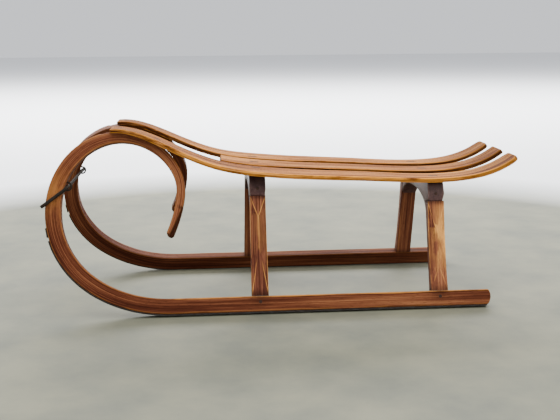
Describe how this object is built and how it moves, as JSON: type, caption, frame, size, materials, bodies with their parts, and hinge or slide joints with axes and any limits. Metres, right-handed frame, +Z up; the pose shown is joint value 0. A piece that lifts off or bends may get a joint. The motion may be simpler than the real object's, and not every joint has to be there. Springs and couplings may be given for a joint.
{
  "type": "wooden toboggan",
  "caption": "Bentwood toboggan with scrolled runners, four chamfered legs, two arched yokes, a fanned slatted seat, steel shoes and an iron cross rod.",
  "frame": {"origin": "on the ground, midway between the runners and midway along the whole sled", "axes": "+Z up, +X towards the rear end of the seat, -X towards the scrolled front, +Y towards the rider's right when facing the front"},
  "size_m": [1.0622, 0.4228, 0.402],
  "materials": {
    "bent_beech": "satin varnish",
    "seat_ash": "worn satin varnish",
    "stained_yoke": "satin stain",
    "dark_peg": "matte end grain",
    "shoe_steel": "blackened, worn bright underneath",
    "wrought_iron": "blackened",
    "screw_steel": "dull"
  },
  "bodies": {
    "root": {"runner_left": "bent_beech", "shoe_left": "shoe_steel", "shoe_tab_left": "shoe_steel", "rod_staple_left": "wrought_iron", "runner_right": "bent_beech", "shoe_right": "shoe_steel", "shoe_tab_right": "shoe_steel", "rod_staple_right": "wrought_iron", "cross_rod": "wrought_iron", "slat_left": "seat_ash", "slat_middle": "seat_ash", "slat_right": "seat_ash", "yoke_front": "stained_yoke", "leg_front_left": "bent_beech", "foot_peg_front_left": "dark_peg", "head_peg_front_left": "dark_peg", "leg_front_right": "bent_beech", "foot_peg_front_right": "dark_peg", "head_peg_front_right": "dark_peg", "yoke_rear": "stained_yoke", "leg_rear_left": "bent_beech", "foot_peg_rear_left": "dark_peg", "head_peg_rear_left": "dark_peg", "leg_rear_right": "bent_beech", "foot_peg_rear_right": "dark_peg", "head_peg_rear_right": "dark_peg", "screw_left_front_1": "screw_steel", "screw_left_front_2": "screw_steel", "screw_left_rear_1": "screw_steel", "screw_left_rear_2": "screw_steel", "screw_left_loop_1": "screw_steel", "screw_left_loop_2": "screw_steel", "screw_middle_front_1": "screw_steel", "screw_middle_front_2": "screw_steel", "screw_middle_rear_1": "screw_steel", "screw_middle_rear_2": "screw_steel", "screw_right_front_1": "screw_steel", "screw_right_front_2": "screw_steel", "screw_right_rear_1": "screw_steel", "screw_right_rear_2": "screw_steel", "screw_right_loop_1": "screw_steel", "screw_right_loop_2": "screw_steel", "shoe_screw_left_1": "screw_steel", "shoe_screw_left_2": "screw_steel", "shoe_screw_left_3": "screw_steel", "shoe_screw_left_4": "screw_steel", "shoe_screw_left_5": "screw_steel", "shoe_screw_left_6": "screw_steel", "shoe_screw_left_7": "screw_steel", "shoe_tab_screw_left": "screw_steel", "shoe_screw_right_1": "screw_steel", "shoe_screw_right_2": "screw_steel", "shoe_screw_right_3": "screw_steel", "shoe_screw_right_4": "screw_steel", "shoe_screw_right_5": "screw_steel", "shoe_screw_right_6": "screw_steel", "shoe_screw_right_7": "screw_steel", "shoe_tab_screw_right": "screw_steel"}
  },
  "joints": []
}
